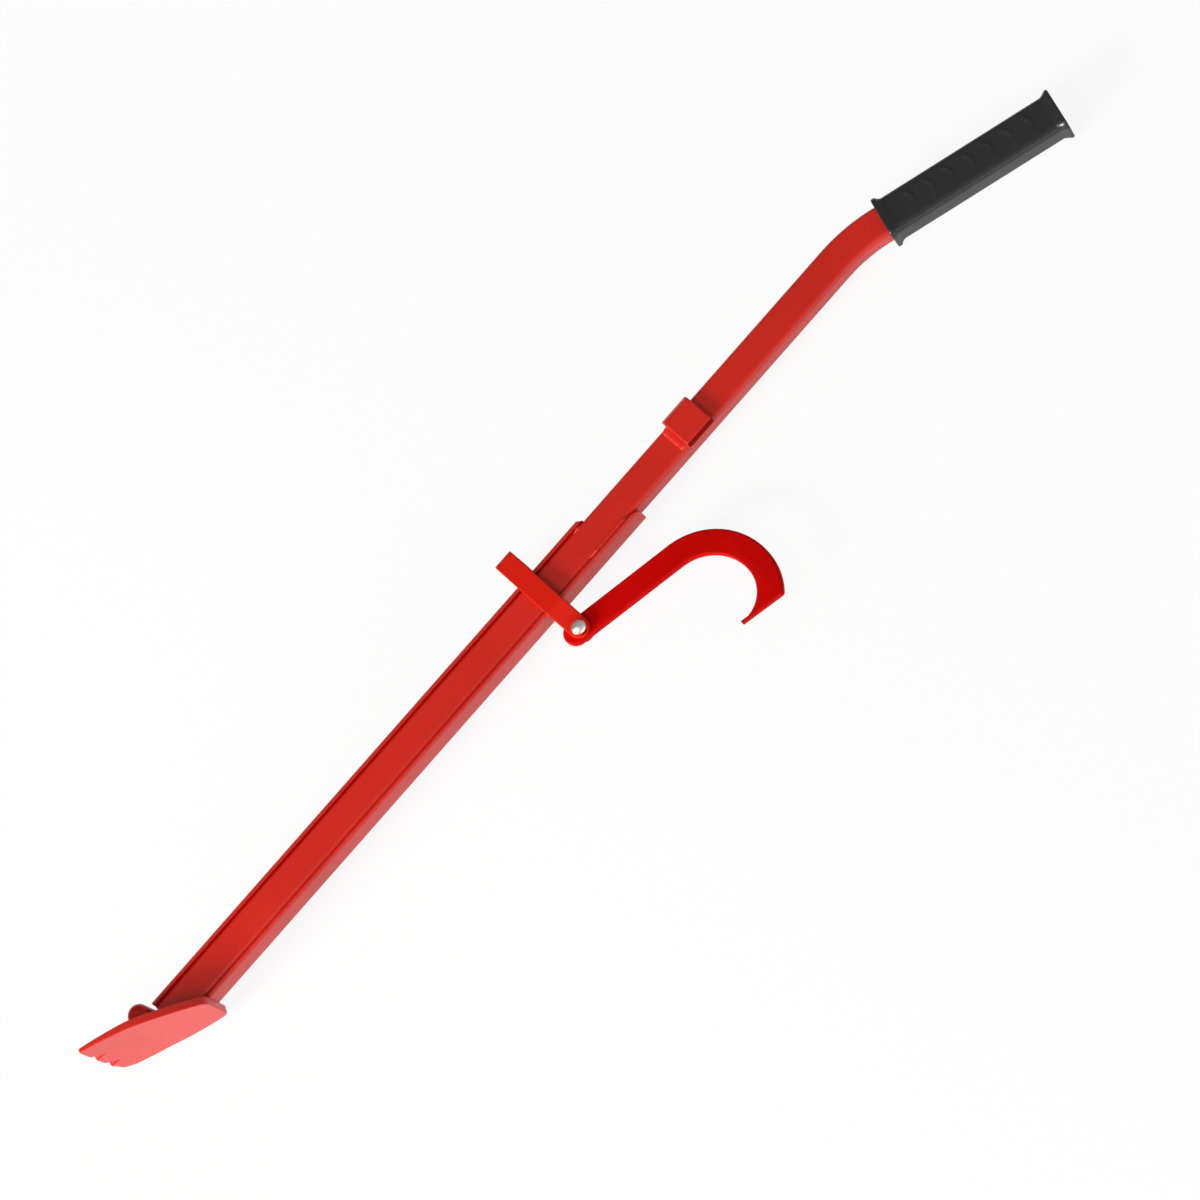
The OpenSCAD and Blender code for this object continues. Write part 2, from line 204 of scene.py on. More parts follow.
def rounded(corners, radii, steps=8):
    """A path through corners, each rounded by its radius."""
    path = []
    for i, (corner, radius) in enumerate(zip(corners, radii)):
        here = Vector(corner)
        if not radius or i in (0, len(corners) - 1):
            path.append(here)
            continue
        back = (Vector(corners[i - 1]) - here).normalized()
        ahead = (Vector(corners[i + 1]) - here).normalized()
        half = back.angle(ahead) / 2
        middle = here + (back + ahead).normalized() * radius / math.sin(half)
        start = here + back * radius / math.tan(half) - middle
        end = here + ahead * radius / math.tan(half) - middle
        turn = start.angle_signed(end)
        for k in range(steps + 1):
            t = -turn * k / steps
            path.append(middle + Vector((start.x * math.cos(t) - start.y * math.sin(t),
                                         start.x * math.sin(t) + start.y * math.cos(t))))
    return [tuple(p) for p in path]


def drawn(name, points, closed=False):
    """A line drawn by pulling one vertex from point to point, closed to a face if asked."""
    points = [Vector(p) * MM for p in points]
    piece = begin(name, bpy.ops.mesh.primitive_plane_add, size=MM, location=points[0])
    with Editing(piece):
        bpy.ops.mesh.select_all(action="SELECT")
        bpy.ops.mesh.merge(type="CENTER")
        for here, there in zip(points, points[1:]):
            bpy.ops.mesh.extrude_vertices_move(TRANSFORM_OT_translate={"value": there - here})
        if closed:
            bpy.ops.mesh.select_all(action="SELECT")
            bpy.ops.mesh.edge_face_add()
    return piece


def folded(name, path, start, end):
    """A strip of sheet folded along a path in Y and Z, from one X to another."""
    piece = drawn(name, [(start, y, z) for y, z in path])
    with Editing(piece) as hand:
        bpy.ops.mesh.select_all(action="SELECT")
        hand.pull((end - start, 0, 0))
    return piece


def thicken(piece, thickness):
    """Gives a folded strip its thickness, half to each side."""
    outward(piece)
    modified(piece, "SOLIDIFY", thickness=thickness * MM, offset=0, use_even_offset=True)
    outward(piece)


def rounded_bar(name, width, depth, radius, x):
    """A rounded rectangle standing across the lever, as the start of a bar."""
    piece = begin(name, bpy.ops.mesh.primitive_plane_add, size=MM, location=(x * MM, 0, TUBE_Z * MM),
                  rotation=(0, math.pi / 2, 0))
    with Editing(piece):
        bpy.ops.mesh.select_all(action="SELECT")
        bpy.ops.transform.resize(value=(1, width, depth), center_override=(x * MM, 0, TUBE_Z * MM))
        bpy.ops.mesh.bevel(offset=radius * MM, segments=8, affect="VERTICES")
    return piece


def soften(piece, width, segments=3, angle=32, clamp=True, weights=False):
    """Rounds a piece's edges, marks them for the paint, and shades it."""
    only(piece)
    for _ in range(2):
        piece.data.materials.append(None)
    modified(piece, "BEVEL", width=width * MM, segments=segments, use_clamp_overlap=clamp,
             limit_method="WEIGHT" if weights else "ANGLE", angle_limit=math.radians(angle),
             material=1, miter_outer="MITER_ARC")
    mark = piece.data.attributes.new("edge", "FLOAT", "FACE")
    mark.data.foreach_set("value", [float(face.material_index == 1) for face in piece.data.polygons])
    for face in piece.data.polygons:
        face.material_index = 0
    piece.data.materials.clear()
    shade(piece)


def paint_shade_on(piece, share):
    """Marks the faces that get painted shade: the paint is darkened, roughened and made metallic there.
    share takes a face's middle and the face.
    """
    mark = piece.data.attributes.new("painted_shade", "FLOAT", "FACE")
    mark.data.foreach_set("value", [share(face.center / MM, face) for face in piece.data.polygons])


def weigh(piece, share, angle=32):
    """Says how much each sharp edge of a piece is rounded. share takes the edge's ends in millimetres."""
    mesh = bmesh.new()
    mesh.from_mesh(piece.data)
    weight = mesh.edges.layers.float.new("bevel_weight_edge")
    for edge in mesh.edges:
        if edge.is_manifold and edge.calc_face_angle() > math.radians(angle):
            edge[weight] = share(*(vert.co / MM for vert in edge.verts))
    mesh.to_mesh(piece.data)
    mesh.free()


def shade(piece, angle=40):
    """Shades a piece smooth, apart from its sharp edges."""
    only(piece)
    bpy.ops.object.shade_smooth_by_angle(angle=math.radians(angle))
    modified(piece, "WEIGHTED_NORMAL", keep_sharp=True, weight=80)


def drilled(piece, diameter, at):
    """Drills a round hole along Z."""
    drill = begin("drill", bpy.ops.mesh.primitive_cylinder_add, vertices=64, radius=diameter / 2 * MM,
                  depth=DRILL_LEN * MM, location=at)
    modified(piece, "BOOLEAN", operation="DIFFERENCE", solver="EXACT", object=drill)
    bpy.data.objects.remove(drill)


# The pieces
def make_tube():
    """A flattened tube, spun round its one bend, with its wall inset at the start."""
    piece = rounded_bar("lever_tube", TUBE_W, TUBE_D, TUBE_R, LEVER_START)
    with Editing(piece) as hand:
        bpy.ops.mesh.select_all(action="SELECT")
        bpy.ops.mesh.inset(thickness=TUBE_WALL * MM)
        hand.pick("FACE", lambda at, face: len(face.verts) > 4)
        bpy.ops.mesh.delete(type="FACE")
        bpy.ops.mesh.select_all(action="SELECT")
        hand.pull((STRAIGHT - LEVER_START, 0, 0))
        bpy.ops.mesh.spin(steps=24, angle=BEND, center=(STRAIGHT * MM, -BEND_R * MM, 0), axis=(0, 0, 1))
        hand.pull(HANDLE.to_3x3() @ Vector((GRIP_START + GRIP_LEN - GRIP_CAP, 0, 0)))
    cut_to_foot(piece)
    outward(piece)
    shade(piece)
    return piece


def make_channel():
    """A folded channel with rounded lips, cut to its mitre and to the round corners of the lips' ends."""
    edge = (CHANNEL_W - CHANNEL_T) / 2
    back = (CHANNEL_T - CHANNEL_D) / 2
    fold = CHANNEL_R - CHANNEL_T / 2
    top = CHANNEL_D / 2
    path = rounded([(edge, top), (edge, back), (-edge, back), (-edge, top)], [0, fold, fold, 0])
    piece = folded("lever_channel", path, LEVER_START, CHANNEL_END + CHANNEL_W)
    thicken(piece, CHANNEL_T)

    def share(a, b):
        """Only the long edges at the lips' tops are rounded."""
        if min(a.z, b.z) < top - NEAR or abs(a.x - b.x) < 1:
            return 0.0
        y = (a.y + b.y) / 2
        outer, inner = FAR_LIP if y > 0 else HOOK_SIDE_LIP
        return outer if abs(y) > edge else inner

    weigh(piece, share)
    soften(piece, LIP_SOFT, clamp=False, weights=True)
    end = Vector((CHANNEL_END, 0, 0))
    away, up = Vector((math.cos(CHANNEL_MITRE), math.sin(CHANNEL_MITRE), 0)), Vector((0, 0, 1))
    corner = end - away * LIP_ROUND + up * (top - LIP_ROUND)
    cut(piece, end, away)
    for turn in range(15, 90, 15):
        out = away * math.cos(math.radians(turn)) + up * math.sin(math.radians(turn))
        cut(piece, corner + out * LIP_ROUND, out)
    cut_to_foot(piece)
    outward(piece)
    shade(piece)
    return piece


def circle_through(a, b, c):
    """Centre and radius of the circle through three points."""
    d = 2 * (a[0] * (b[1] - c[1]) + b[0] * (c[1] - a[1]) + c[0] * (a[1] - b[1]))
    sa, sb, sc = (p[0] ** 2 + p[1] ** 2 for p in (a, b, c))
    x = (sa * (b[1] - c[1]) + sb * (c[1] - a[1]) + sc * (a[1] - b[1])) / d
    y = (sa * (c[0] - b[0]) + sb * (a[0] - c[0]) + sc * (b[0] - a[0])) / d
    return (x, y), math.hypot(x - a[0], y - a[1])


def make_foot():
    """A flared plate drawn from its sole, with two notches, a thinner bent toe and one worn corner, and
    painted shade in the notches and on the sole.
    """
    end = FOOT_LEN / 2
    middle, radius = circle_through((end, HEEL_W / 2), (0, MID_W / 2), (-end, TOE_W / 2))
    steps = 24
    xs = [end - HEEL_CORNER_LEN - (FOOT_LEN - HEEL_CORNER_LEN) * i / steps for i in range(steps + 1)]
    side = [(x, middle[1] + math.sqrt(radius ** 2 - (x - middle[0]) ** 2)) for x in xs]
    toe_side = side[-1][1]
    third = TOE_W / 6
    root, wall = NOTCH_DEPTH - NOTCH_ROOT[0] - end, NOTCH_ROOT[1]
    notch = [(-end, third + NOTCH_W / 2), (root, third + wall), (NOTCH_DEPTH - end, third),
             (root, third - wall), (-end, third - NOTCH_W / 2)]
    heel = [(end - back, HEEL_W / 2 - inward) for back, inward in HEEL_CORNER]
    crisp = [(ahead - end, toe_side - inward) for ahead, inward in TOE_CORNER]
    kept = [p for p in side if p[0] > WORN_LEN - end]
    corner = (WORN_CORNER[0] - end, toe_side - WORN_CORNER[1])
    worn = rounded([kept[-1], corner, notch[0]], [0, WORN_R, 0])[1:-1]
    front = heel + side[:-1] + crisp + notch
    back = heel + kept + worn + notch
    outline = front + [(x, -z) for x, z in reversed(back)]
    piece = drawn("foot_wedge", [(x, 0, z) for x, z in outline], closed=True)
    with Editing(piece) as hand:
        bpy.ops.mesh.select_all(action="SELECT")
        hand.pull((0, FOOT_T, 0))
        for z in (-third, third):
            hand.pick("VERT", lambda at, vert: at.y > NEAR and at.x < NEAR + NOTCH_DEPTH - end
                      and abs(at.z - z) < NOTCH_W / 2 + NEAR)
            bpy.ops.transform.resize(value=(1, 1, NOTCH_TOP), center_override=(0, 0, z * MM))
    outward(piece)
    fold = TOE_TAPER - end
    cut(piece, (fold, FOOT_T, 0), (TOE_T - FOOT_T, TOE_TAPER, 0))
    with Editing(piece) as hand:
        bpy.ops.mesh.select_all(action="SELECT")
        bpy.ops.mesh.bisect(plane_co=(fold * MM, 0, 0), plane_no=(1, 0, 0))
        hand.pick("VERT", lambda at, vert: at.x < fold - CLOSE)
        bpy.ops.transform.rotate(value=-TOE_BEND, orient_axis="Z", center_override=(fold * MM, 0, 0))
    outward(piece)
    soften(piece, FOOT_SOFT, clamp=False)

    def painted_shade(at, face):
        """Painted shade darkens the notch walls strongly and the sole a little."""
        along = (at.x + end) / NOTCH_DEPTH
        if along < 1 and abs(abs(at.z) - third) < NOTCH_W / 2 * (1 - along) + NOTCH_EDGE:
            return NOTCH_SHADE
        return SOLE_SHADE if face.normal.y < -SQUARE else 0.0

    # Painted shade: dark notch walls and a slightly darker sole
    paint_shade_on(piece, painted_shade)
    settle(piece, FOOT)
    return piece


def make_stop_bar():
    """A round bar with domed ends, flat where it lies on the foot plate, with painted shade on the domes."""
    piece = begin("foot_bar", bpy.ops.mesh.primitive_cylinder_add, vertices=64, radius=BAR_R * MM,
                  depth=BAR_LEN * MM, location=(BAR_AT[0] * MM, BAR_AT[1] * MM, 0))
    with Editing(piece) as hand:
        hand.pick("EDGE", lambda at, edge: abs(at.z) > BAR_LEN / 2 - NEAR)
        bpy.ops.mesh.bevel(offset=BAR_DOME * MM, segments=8)
    cut_to_foot(piece)
    outward(piece)
    soften(piece, BAR_SOFT)
    # Painted shade darkens the domed ends
    paint_shade_on(piece, lambda at, face: DOME_SHADE * (abs(at.z) > BAR_LEN / 2 - BAR_DOME - NEAR))
    return piece


def make_slide_stop():
    """A strip folded round the tube's front and far side, its hook-side end drawn down the tube's corner,
    with painted shade on that end.
    """
    front = TUBE_FRONT + SLIDE_T / 2
    side = (TUBE_W + SLIDE_T) / 2
    start = SLIDE_INSET - TUBE_W / 2
    fold = TUBE_R + SLIDE_T / 2
    path = rounded([(start, front), (side, front), (side, TUBE_Z - SLIDE_WRAP)], [0, fold, 0])
    piece = folded("slide_stop_strip", path, SLIDE_X, SLIDE_X + SLIDE_LEN)
    thicken(piece, SLIDE_T)
    with Editing(piece) as hand:
        hand.pick("VERT", lambda at, vert: at.y < NEAR + start and at.z < front)
        bpy.ops.transform.translate(value=(0, -SLIDE_REACH * MM, 0))
    soften(piece, SLIDE_SOFT)
    # Painted shade darkens the hook-side end faces
    paint_shade_on(piece, lambda at, face: STOP_SHADE * (face.normal.y < -SLANTED))
    return piece


def rib_lift(x, y):
    """How far the ribs lift the grip's flat faces at a place on them."""
    lift = 0.0
    for i in range(RIB_COUNT):
        off = abs(x - RIB_FIRST - RIB_STEP * i + RIB_BOW * (y / RIB_HALF) ** 2) / RIB_WIDTH
        fade = min(1.0, max(0.0, (RIB_HALF - abs(y)) / RIB_FADE))
        if off < 1:
            lift += RIB_HEIGHT * (0.5 + 0.5 * math.cos(math.pi * off)) * fade
    return lift


def make_grip():
    """A bar drawn out in steps, hollowed for the tube, with curved ribs on its two flat faces."""
    start, end = GRIP_START, GRIP_START + GRIP_LEN
    steps = [(start + x, rise) for x, rise in GRIP_MOUTH]
    steps += [(start + x, 0.0) for x in range(GRIP_PLAIN, GRIP_LEN - GRIP_PLAIN + 1)]
    steps += [(end - x, rise) for x, rise in GRIP_TIP]
    piece = rounded_bar("grip_sleeve", GRIP_W, GRIP_D, GRIP_R, start)
    x, width, depth = start, GRIP_W, GRIP_D
    with Editing(piece) as hand:
        bpy.ops.mesh.select_all(action="SELECT")
        for there, rise in steps:
            if there > start:
                hand.pull((there - x, 0, 0))
            wide, deep = GRIP_W + 2 * rise, GRIP_D + 2 * rise
            bpy.ops.transform.resize(value=(1, wide / width, deep / depth),
                                     center_override=(0, 0, TUBE_Z * MM))
            x, width, depth = there, wide, deep
        hand.pick("FACE", lambda at, face: at.x < start + CLOSE and len(face.verts) > 4)
        bpy.ops.mesh.inset(thickness=(GRIP_WALL + GRIP_MOUTH[0][1]) * MM)
        hand.pull((GRIP_LEN - GRIP_CAP, 0, 0))
    outward(piece)

    def ribbed(at):
        """On a flat face, between the flanges."""
        between = start + GRIP_PLAIN - 1 < at.x < end - GRIP_PLAIN + 1
        return between and abs(at.z - TUBE_Z) > GRIP_D / 2 - CLOSE

    with Editing(piece) as hand:
        hand.pick("EDGE", lambda at, edge: ribbed(at) and abs(at.y) < CLOSE
                  and edge.calc_length() > GRIP_R * MM)
        bpy.ops.mesh.subdivide(number_cuts=RIB_CUTS)
        mesh = bmesh.from_edit_mesh(piece.data)
        for vert in mesh.verts:
            at = vert.co / MM
            if ribbed(at):
                vert.co.z += math.copysign(rib_lift(at.x, at.y) * MM, at.z - TUBE_Z)
        bmesh.update_edit_mesh(piece.data)
    shade(piece, angle=50)
    settle(piece, HANDLE)
    return piece


def make_collar():
    """One strap folded round the lever, its two legs pinched to the hook and rounded round the rivet."""
    leg = CHANNEL_D / 2 + COLLAR_PLAY + STRAP_T / 2
    cheek = CHEEK_IN + STRAP_T / 2
    far = CHANNEL_W / 2 + COLLAR_SLACK + STRAP_T / 2
    pinch = -CHANNEL_W / 2 - COLLAR_PLAY - PINCH_OFF
    front = [(-PIVOT_DROP, cheek), (pinch - PINCH_RUN, cheek), (pinch, leg), (far, leg)]
    radii = [0, PINCH_R, PINCH_R, LOOP_R]
    path = rounded(front + [(y, -z) for y, z in reversed(front)], radii + radii[::-1])
    piece = folded("collar_loop", path, COLLAR_X - STRAP_W / 2, COLLAR_X + STRAP_W / 2)
    steps, short = 10, 0.25
    with Editing(piece) as hand:
        for side in (-1, 1):
            hand.pick("EDGE", lambda at, edge: at.y < CLOSE - PIVOT_DROP and at.z * side > 0
                      and abs(edge.verts[0].co.x - edge.verts[1].co.x) > MM)
            reach, half = 0.0, STRAP_W / 2
            for i in range(1, steps + 1):
                turn = math.pi / 2 * min(i, steps - short) / steps
                there, width = STRAP_W / 2 * math.sin(turn), STRAP_W / 2 * math.cos(turn)
                hand.pull((0, reach - there, 0))
                bpy.ops.transform.resize(value=(width / half, 1, 1),
                                         center_override=(COLLAR_X * MM, 0, 0))
                reach, half = there, width
    thicken(piece, STRAP_T)
    soften(piece, STRAP_SOFT, clamp=False, angle=50)
    drilled(piece, RIVET_D, PIVOT)
    return piece


def hook_outline():
    """The hook's outline from its tail round the back of the bow to the nose, and its tip. X runs along the
    shank from the pivot."""
    half, out, inner = HOOK_W / 2, BOW_R + HOOK_W / 2, BOW_R - HOOK_W / 2
    nose_x = HOOK_RUN + inner - NOSE_R
    tip_y = -BOW_R - math.sqrt(NOSE_R ** 2 - (TIP_RUN - nose_x) ** 2) - TIP_BLUNT
    tail = half - HOOK_TAIL
    parts = 8
    points = [(tail + (HOOK_RUN - tail) * i / parts, half) for i in range(parts)]
    points += arc((HOOK_RUN, -BOW_R), out, 90, 0, steps=40)
    slope = NOSE_DROP / (HOOK_RUN + out - TIP_RUN)
    outer = arc((HOOK_RUN + out - NOSE_OUT_R, -BOW_R), NOSE_OUT_R, 0, -60, steps=90)[1:]
    outer = [p for p in outer if p[1] > tip_y - slope * (p[0] - TIP_RUN)]
    heel = outer[-1]
    outer = [p for p in outer if math.dist(p, heel) > 2 * NOSE_ROUND]
    points += outer[:-1] + rounded([outer[-1], heel, (TIP_RUN, tip_y)], [0, NOSE_ROUND, 0])
    first = math.degrees(math.acos((TIP_RUN - nose_x) / NOSE_R))
    points += arc((nose_x, -BOW_R), NOSE_R, -first, 0, steps=28)
    points += arc((HOOK_RUN, -BOW_R), inner, 0, 90, steps=40)[1:]
    points += [(HOOK_RUN + (tail - HOOK_RUN) * i / parts, -half) for i in range(1, parts)]
    points += arc((tail, 0), half, -90, -270, steps=28)[:-1]
    return points, Vector((TIP_RUN, tip_y))


def make_hook():
    """A plate drawn along the hook's outline, its edges rounded less and less towards the tip."""
    outline, tip = hook_outline()
    piece = drawn("turning_hook", [(x, y, -HOOK_T / 2) for x, y in outline], closed=True)
    with Editing(piece) as hand:
        bpy.ops.mesh.select_all(action="SELECT")
        hand.pull((0, 0, HOOK_T))
    outward(piece)

    def share(a, b):
        """The edges of the two flat faces are rounded."""
        if abs(a.z - b.z) > NEAR:
            return 0.0
        return min(1.0, max(TIP_CRISP, (a.lerp(b, 0.5).xy - tip).length / TIP_FADE))

    weigh(piece, share)
    settle(piece, Matrix.Translation(PIVOT) @ Matrix.Rotation(-HOOK_SLOPE, 4, "Z"))
    soften(piece, HOOK_SOFT, segments=5, clamp=False, weights=True)
    drilled(piece, RIVET_D + EYE_PLAY, PIVOT)
    return piece


def make_rivet():
    """A half profile with a domed head and tail, spun round the pivot."""

    def dome(height, sign):
        radius = ((RIVET_HEAD_D / 2) ** 2 + height ** 2) / (2 * height)
        reach = math.degrees(math.asin(RIVET_HEAD_D / 2 / radius))
        points = arc((0, height - radius), radius, 90, 90 - reach, steps=12)
        return [(max(x, 0.0), sign * (CHEEK_OUT + z)) for x, z in points]

    shank = [(RIVET_D / 2, CHEEK_OUT), (RIVET_D / 2, -CHEEK_OUT)]
    profile = dome(RIVET_HEAD_H, 1) + shank + dome(RIVET_TAIL_H, -1)[::-1]
    piece = drawn("pivot_pin", [(x, 0, z) for x, z in profile])
    with Editing(piece):
        bpy.ops.mesh.select_all(action="SELECT")
        bpy.ops.mesh.spin(steps=48, angle=2 * math.pi, center=(0, 0, 0), axis=(0, 0, 1))
    outward(piece)
    settle(piece, Matrix.Translation(PIVOT))
    shade(piece)
    return piece


# Rings of one ripple of a bead: how far along it each ring lies, and how much it swells. The ripples also
# waver in two slow waves, each with its height and its turn per ripple.
RIPPLE = ((0.3, -0.03), (0.65, 0.04), (0.95, -0.10))
WAVER = ((0.05, 2.3), (0.03, 5.1))
FIRST_RING, FILL = 0.45, 0.5


def make_weld(name, start, end, out, radius, ripple=1.0, taper=1.0, blunt=0.55, pitch=1.7):
    """A rippled bead from start to end, its middle moved out by a vector, with blunt or tapered ends."""
    start, end, out = Vector(start), Vector(end), Vector(out)
    run = end - start
    turn = run.to_track_quat("Z", "Y").to_matrix().to_4x4()
    size = radius * min(FIRST_RING, blunt)
    piece = begin(name, bpy.ops.mesh.primitive_circle_add, vertices=20, radius=size * MM,
                  fill_type="NGON")
    count = max(3, round(run.length / pitch))
    pitch = run.length / count
    z = 0.0
    with Editing(piece) as hand:
        bpy.ops.mesh.select_all(action="SELECT")
        for i in range(count):
            waver = sum(height * math.sin(rate * i) for height, rate in WAVER)
            for share, swell in RIPPLE:
                there = (i + share) * pitch
                inward = min(there, run.length - there)
                fullness = min(1.0, blunt + FILL * inward / (radius * taper))
                width = radius * (1 + ripple * (swell + waver)) * fullness
                hand.pull((0, 0, there - z))
                bpy.ops.transform.resize(value=(width / size, width / size, 1),
                                         center_override=(0, 0, there * MM))
                z, size = there, width
    outward(piece)
    settle(piece, Matrix.Translation((start + out) * MM) @ turn)
    modified(piece, "SUBSURF", levels=1, render_levels=1)
    shade(piece, angle=60)
    return piece


def foot_point(x, y, z):
    """A place on the foot, in the part's frame."""
    return FOOT @ Vector((x, y, z))


def make_welds():
    """All the beads, by the node that each replaces."""
    found = {}
    lever_foot = (LEVER_START - FOOT_T * math.sin(SOLE)) / math.cos(SOLE)
    first, last = lever_foot + WELD_SHORT, FOOT_LEN / 2 - WELD_SHORT
    for name, root, side in (("foot_weld_front", TUBE_FRONT, 1), ("foot_weld_back", -CHANNEL_D / 2, -1)):
        found[name] = make_weld(name + "_bead", foot_point(first, FOOT_T, root),
                                foot_point(last, FOOT_T, root), out=FOOT_UP + Vector((0, 0, side)),
                                radius=2.2)
    bar = FOOT.inverted() @ Vector((BAR_AT[0], BAR_AT[1], 0))
    chord = math.sqrt(BAR_R ** 2 - (bar.y - FOOT_T) ** 2)
    root, reach = foot_point(bar.x - chord, FOOT_T, 0), Vector((0, 0, BAR_LEN / 2 - WELD_LEG))
    found["stop_bar_weld"] = make_weld("stop_bar_weld_bead", root - reach, root + reach,
                                       out=foot_point(-0.9, 1.3, 0), radius=2.3)
    reach, flat = TUBE_W / 2 - 1, 0.42
    found["slide_stop_weld"] = make_weld("slide_stop_weld_bead", (SLIDE_X, -reach, TUBE_FRONT),
                                         (SLIDE_X, reach, TUBE_FRONT), out=(-0.4, 0, 0), radius=4.4,
                                         ripple=0.2, taper=0.3)
    with Editing(found["slide_stop_weld"]):
        bpy.ops.mesh.select_all(action="SELECT")
        bpy.ops.transform.resize(value=(1, 1, flat), center_override=(0, 0, TUBE_FRONT * MM))
    groove = TUBE_W / 2 - 1.2
    for name, side, length in (("channel_weld_left", 1, CHANNEL_WELD_SHORT),
                               ("channel_weld_right", -1, CHANNEL_WELD_LONG)):
        y = side * groove
        end = CHANNEL_END - side * (math.tan(CHANNEL_MITRE) * TUBE_W / 2) - 1
        found[name] = make_weld(name + "_bead", (end - length, y, TUBE_FRONT), (end, y, TUBE_FRONT),
                                out=(0, 0, -1.0), radius=1.75, ripple=0.3, taper=2.0, blunt=0.2)
    return found


# Materials
class Wire:
    """An output of a shader node. Sums on wires add Math nodes."""

    def __init__(self, net, socket):
        self.net, self.socket = net, socket

    def sum(self, operation, first, second):
        return self.net.node("ShaderNodeMath", {"operation": operation}, {0: first, 1: second})

    def __add__(self, other):
        return self.sum("ADD", self, other)

    def __sub__(self, other):
        return self.sum("SUBTRACT", self, other)

    def __rsub__(self, other):
        return self.sum("SUBTRACT", other, self)

    def __mul__(self, other):
        return self.sum("MULTIPLY", self, other)

    __radd__, __rmul__ = __add__, __mul__


class Net:
    """The nodes of a material or of the world."""

    def __init__(self, owner):
        owner.use_nodes = True
        self.tree = owner.node_tree

    def node(self, kind, settings, sockets, output=0):
        """Adds a node, sets it, fills or links its sockets, and gives one of its outputs."""
        made = self.tree.nodes.new(kind)
        for key, value in settings.items():
            if key == "stops":
                for stop, (place, grey) in zip(made.color_ramp.elements, value):
                    stop.position, stop.color = place, (grey, grey, grey, 1)
            else:
                setattr(made, key, value)
        for key, value in sockets.items():
            if isinstance(value, Wire):
                self.tree.links.new(value.socket, made.inputs[key])
            else:
                made.inputs[key].default_value = value
        return Wire(self, made.outputs[output])

    def backdrop(self, camera, mirrored):
        """How much of the white backdrop shows to the camera, and in what mirrors it or lets it through."""
        path = self.node("ShaderNodeLightPath", {}, {}, "Is Camera Ray")
        others = path.socket.node.outputs
        shiny = Wire(self, others["Is Glossy Ray"]) + Wire(self, others["Is Transmission Ray"])
        return path * camera + shiny * mirrored

    def surface(self, output, share, first, second):
        """Mixes two shaders into the output."""
        seen = self.node("ShaderNodeMixShader", {}, {0: share, 1: first, 2: second})
        self.tree.links.new(seen.socket, self.tree.nodes[output].inputs["Surface"])


class Finish(Net):
    """A material, its Principled shader's constants first."""

    def __init__(self, name, **constants):
        self.material = bpy.data.materials.new(name)
        super().__init__(self.material)
        self.shader = self.tree.nodes["Principled BSDF"]
        for key, value in constants.items():
            self.shader.inputs[key.replace("_", " ")].default_value = value

    def place(self):
        return self.node("ShaderNodeTexCoord", {}, {}, "Object")

    def noise(self, place, scale, detail=2.0, roughness=0.5):
        return self.node("ShaderNodeTexNoise", {}, {"Vector": place, "Scale": scale, "Detail": detail,
                                                    "Roughness": roughness}, "Fac")

    def ramp(self, value, low, high):
        return self.node("ShaderNodeValToRGB", {"stops": ((low, 0), (high, 1))}, {"Fac": value})

    def mix(self, share, first, second):
        return self.node("ShaderNodeMix", {"data_type": "RGBA"}, {0: share, 6: first, 7: second}, 2)

    def feed(self, key, wire):
        self.tree.links.new(wire.socket, self.shader.inputs[key])

    def bump(self, height, strength, distance):
        self.feed("Normal", self.node("ShaderNodeBump", {}, {"Height": height, "Strength": strength,
                                                             "Distance": distance * MM}))


WHITE = (1, 1, 1, 1)


def shade_of(colour, gain=1.0):
    """A lighter or darker shade of a colour, as a socket takes it."""
    return (*[min(1.0, c * gain) for c in colour], 1)


def paint(name, colour, worn, roughness, specular, coat=0.0, shade_colour=None):
    """Sprayed enamel: slow drifts of colour, a fine orange peel, and thin paint and small chips along the
    edges. Where it has a shade colour, painted shade mixes that dark colour in, rougher and metallic, on the
    marked faces."""
    finish = Finish(name, Specular_IOR_Level=specular, Coat_Roughness=0.12)
    place = finish.place()
    drift = finish.ramp(finish.noise(place, scale=18, detail=3), low=0.3, high=0.7)
    mottle = finish.noise(place, scale=160, detail=3)
    peel = finish.noise(place, scale=750)
    chips = finish.ramp(finish.noise(place, scale=420, detail=4, roughness=0.6), low=0.52, high=0.66)
    scuff = finish.node("ShaderNodeAttribute", {"attribute_name": "edge"}, {}, "Fac") * chips
    body = finish.mix(drift, shade_of(colour, 0.93), shade_of(colour, 1.05))
    body = finish.mix(scuff * 0.35, body, shade_of(worn))
    dullness = mottle * 0.12 + scuff * 0.12 + (roughness - 0.06)
    # Painted shade: faces marked for it are darkened towards the shade colour, and made rougher and metallic
    if shade_colour:
        painted_shade = finish.node("ShaderNodeAttribute", {"attribute_name": "painted_shade"}, {}, "Fac")
        body = finish.mix(painted_shade, body, shade_of(shade_colour))
        dullness = dullness + painted_shade * 0.3
        finish.feed("Metallic", finish.ramp(painted_shade, low=0.1, high=0.4))
        finish.feed("Coat Weight", coat - painted_shade * coat)
    finish.feed("Base Color", body)
    finish.feed("Roughness", dullness)
    finish.bump(peel + mottle * 0.6, strength=0.04, distance=0.2)
    return finish.material


def rubber():
    """Moulded rubber: fine matt grain with a few rubbed, shinier spots."""
    finish = Finish("grip_rubber_black", Specular_IOR_Level=0.55)
    place = finish.place()
    rubbed = finish.ramp(finish.noise(place, scale=45, detail=3), low=0.4, high=0.75)
    grain = finish.noise(place, scale=1500)
    finish.feed("Base Color", finish.mix(rubbed, shade_of((0.0135, 0.0135, 0.0150)),
                                         shade_of((0.0190, 0.0190, 0.0205))))
    finish.feed("Roughness", 0.26 - rubbed * 0.06 + grain * 0.07)
    finish.bump(grain, strength=0.25, distance=0.15)
    return finish.material


